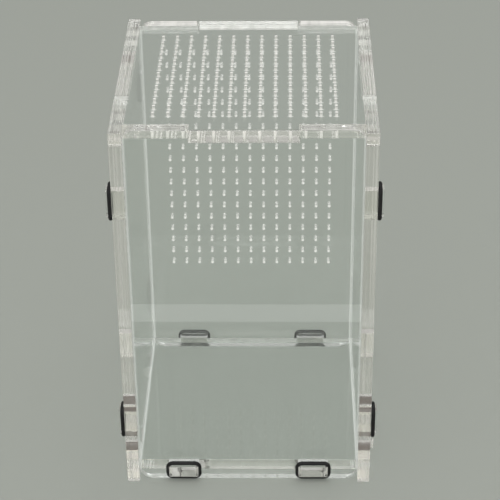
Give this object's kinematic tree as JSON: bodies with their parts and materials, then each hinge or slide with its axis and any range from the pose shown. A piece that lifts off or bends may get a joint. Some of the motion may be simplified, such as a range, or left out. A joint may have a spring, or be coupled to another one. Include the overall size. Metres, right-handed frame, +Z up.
{
  "type": "plastic pet keeper",
  "caption": "Clear acrylic box for keeping spiders and insects, made of flat slotted sheets held together by stretched rubber rings, with fine vent holes and a lift-off lid.",
  "frame": {"origin": "on the ground, at the middle of the footprint", "axes": "+X to the right seen from the front, +Y to the back, where the vented wall is, +Z up"},
  "size_m": [0.1048, 0.1044, 0.162],
  "materials": {
    "acrylic": "clear, polished faces and frosted cut edges",
    "rubber": "smooth black cord with a slight sheen"
  },
  "bodies": {
    "case": {"left_side": "acrylic", "right_side": "acrylic", "front_panel": "acrylic", "back_panel": "acrylic", "floor_panel": "acrylic", "ring_front_left_upper": "rubber", "ring_front_left_lower": "rubber", "ring_front_right_upper": "rubber", "ring_front_right_lower": "rubber", "ring_back_left_upper": "rubber", "ring_back_left_lower": "rubber", "ring_back_right_upper": "rubber", "ring_back_right_lower": "rubber", "ring_floor_front_left": "rubber", "ring_floor_front_right": "rubber", "ring_floor_back_left": "rubber", "ring_floor_back_right": "rubber"},
    "lid": {"lid": "acrylic"}
  },
  "joints": [
    {"name": "lid_lift", "type": "slide", "parent": "case", "child": "lid", "axis": [0, 0, 1], "range_m": [0, 0.08]}
  ]
}
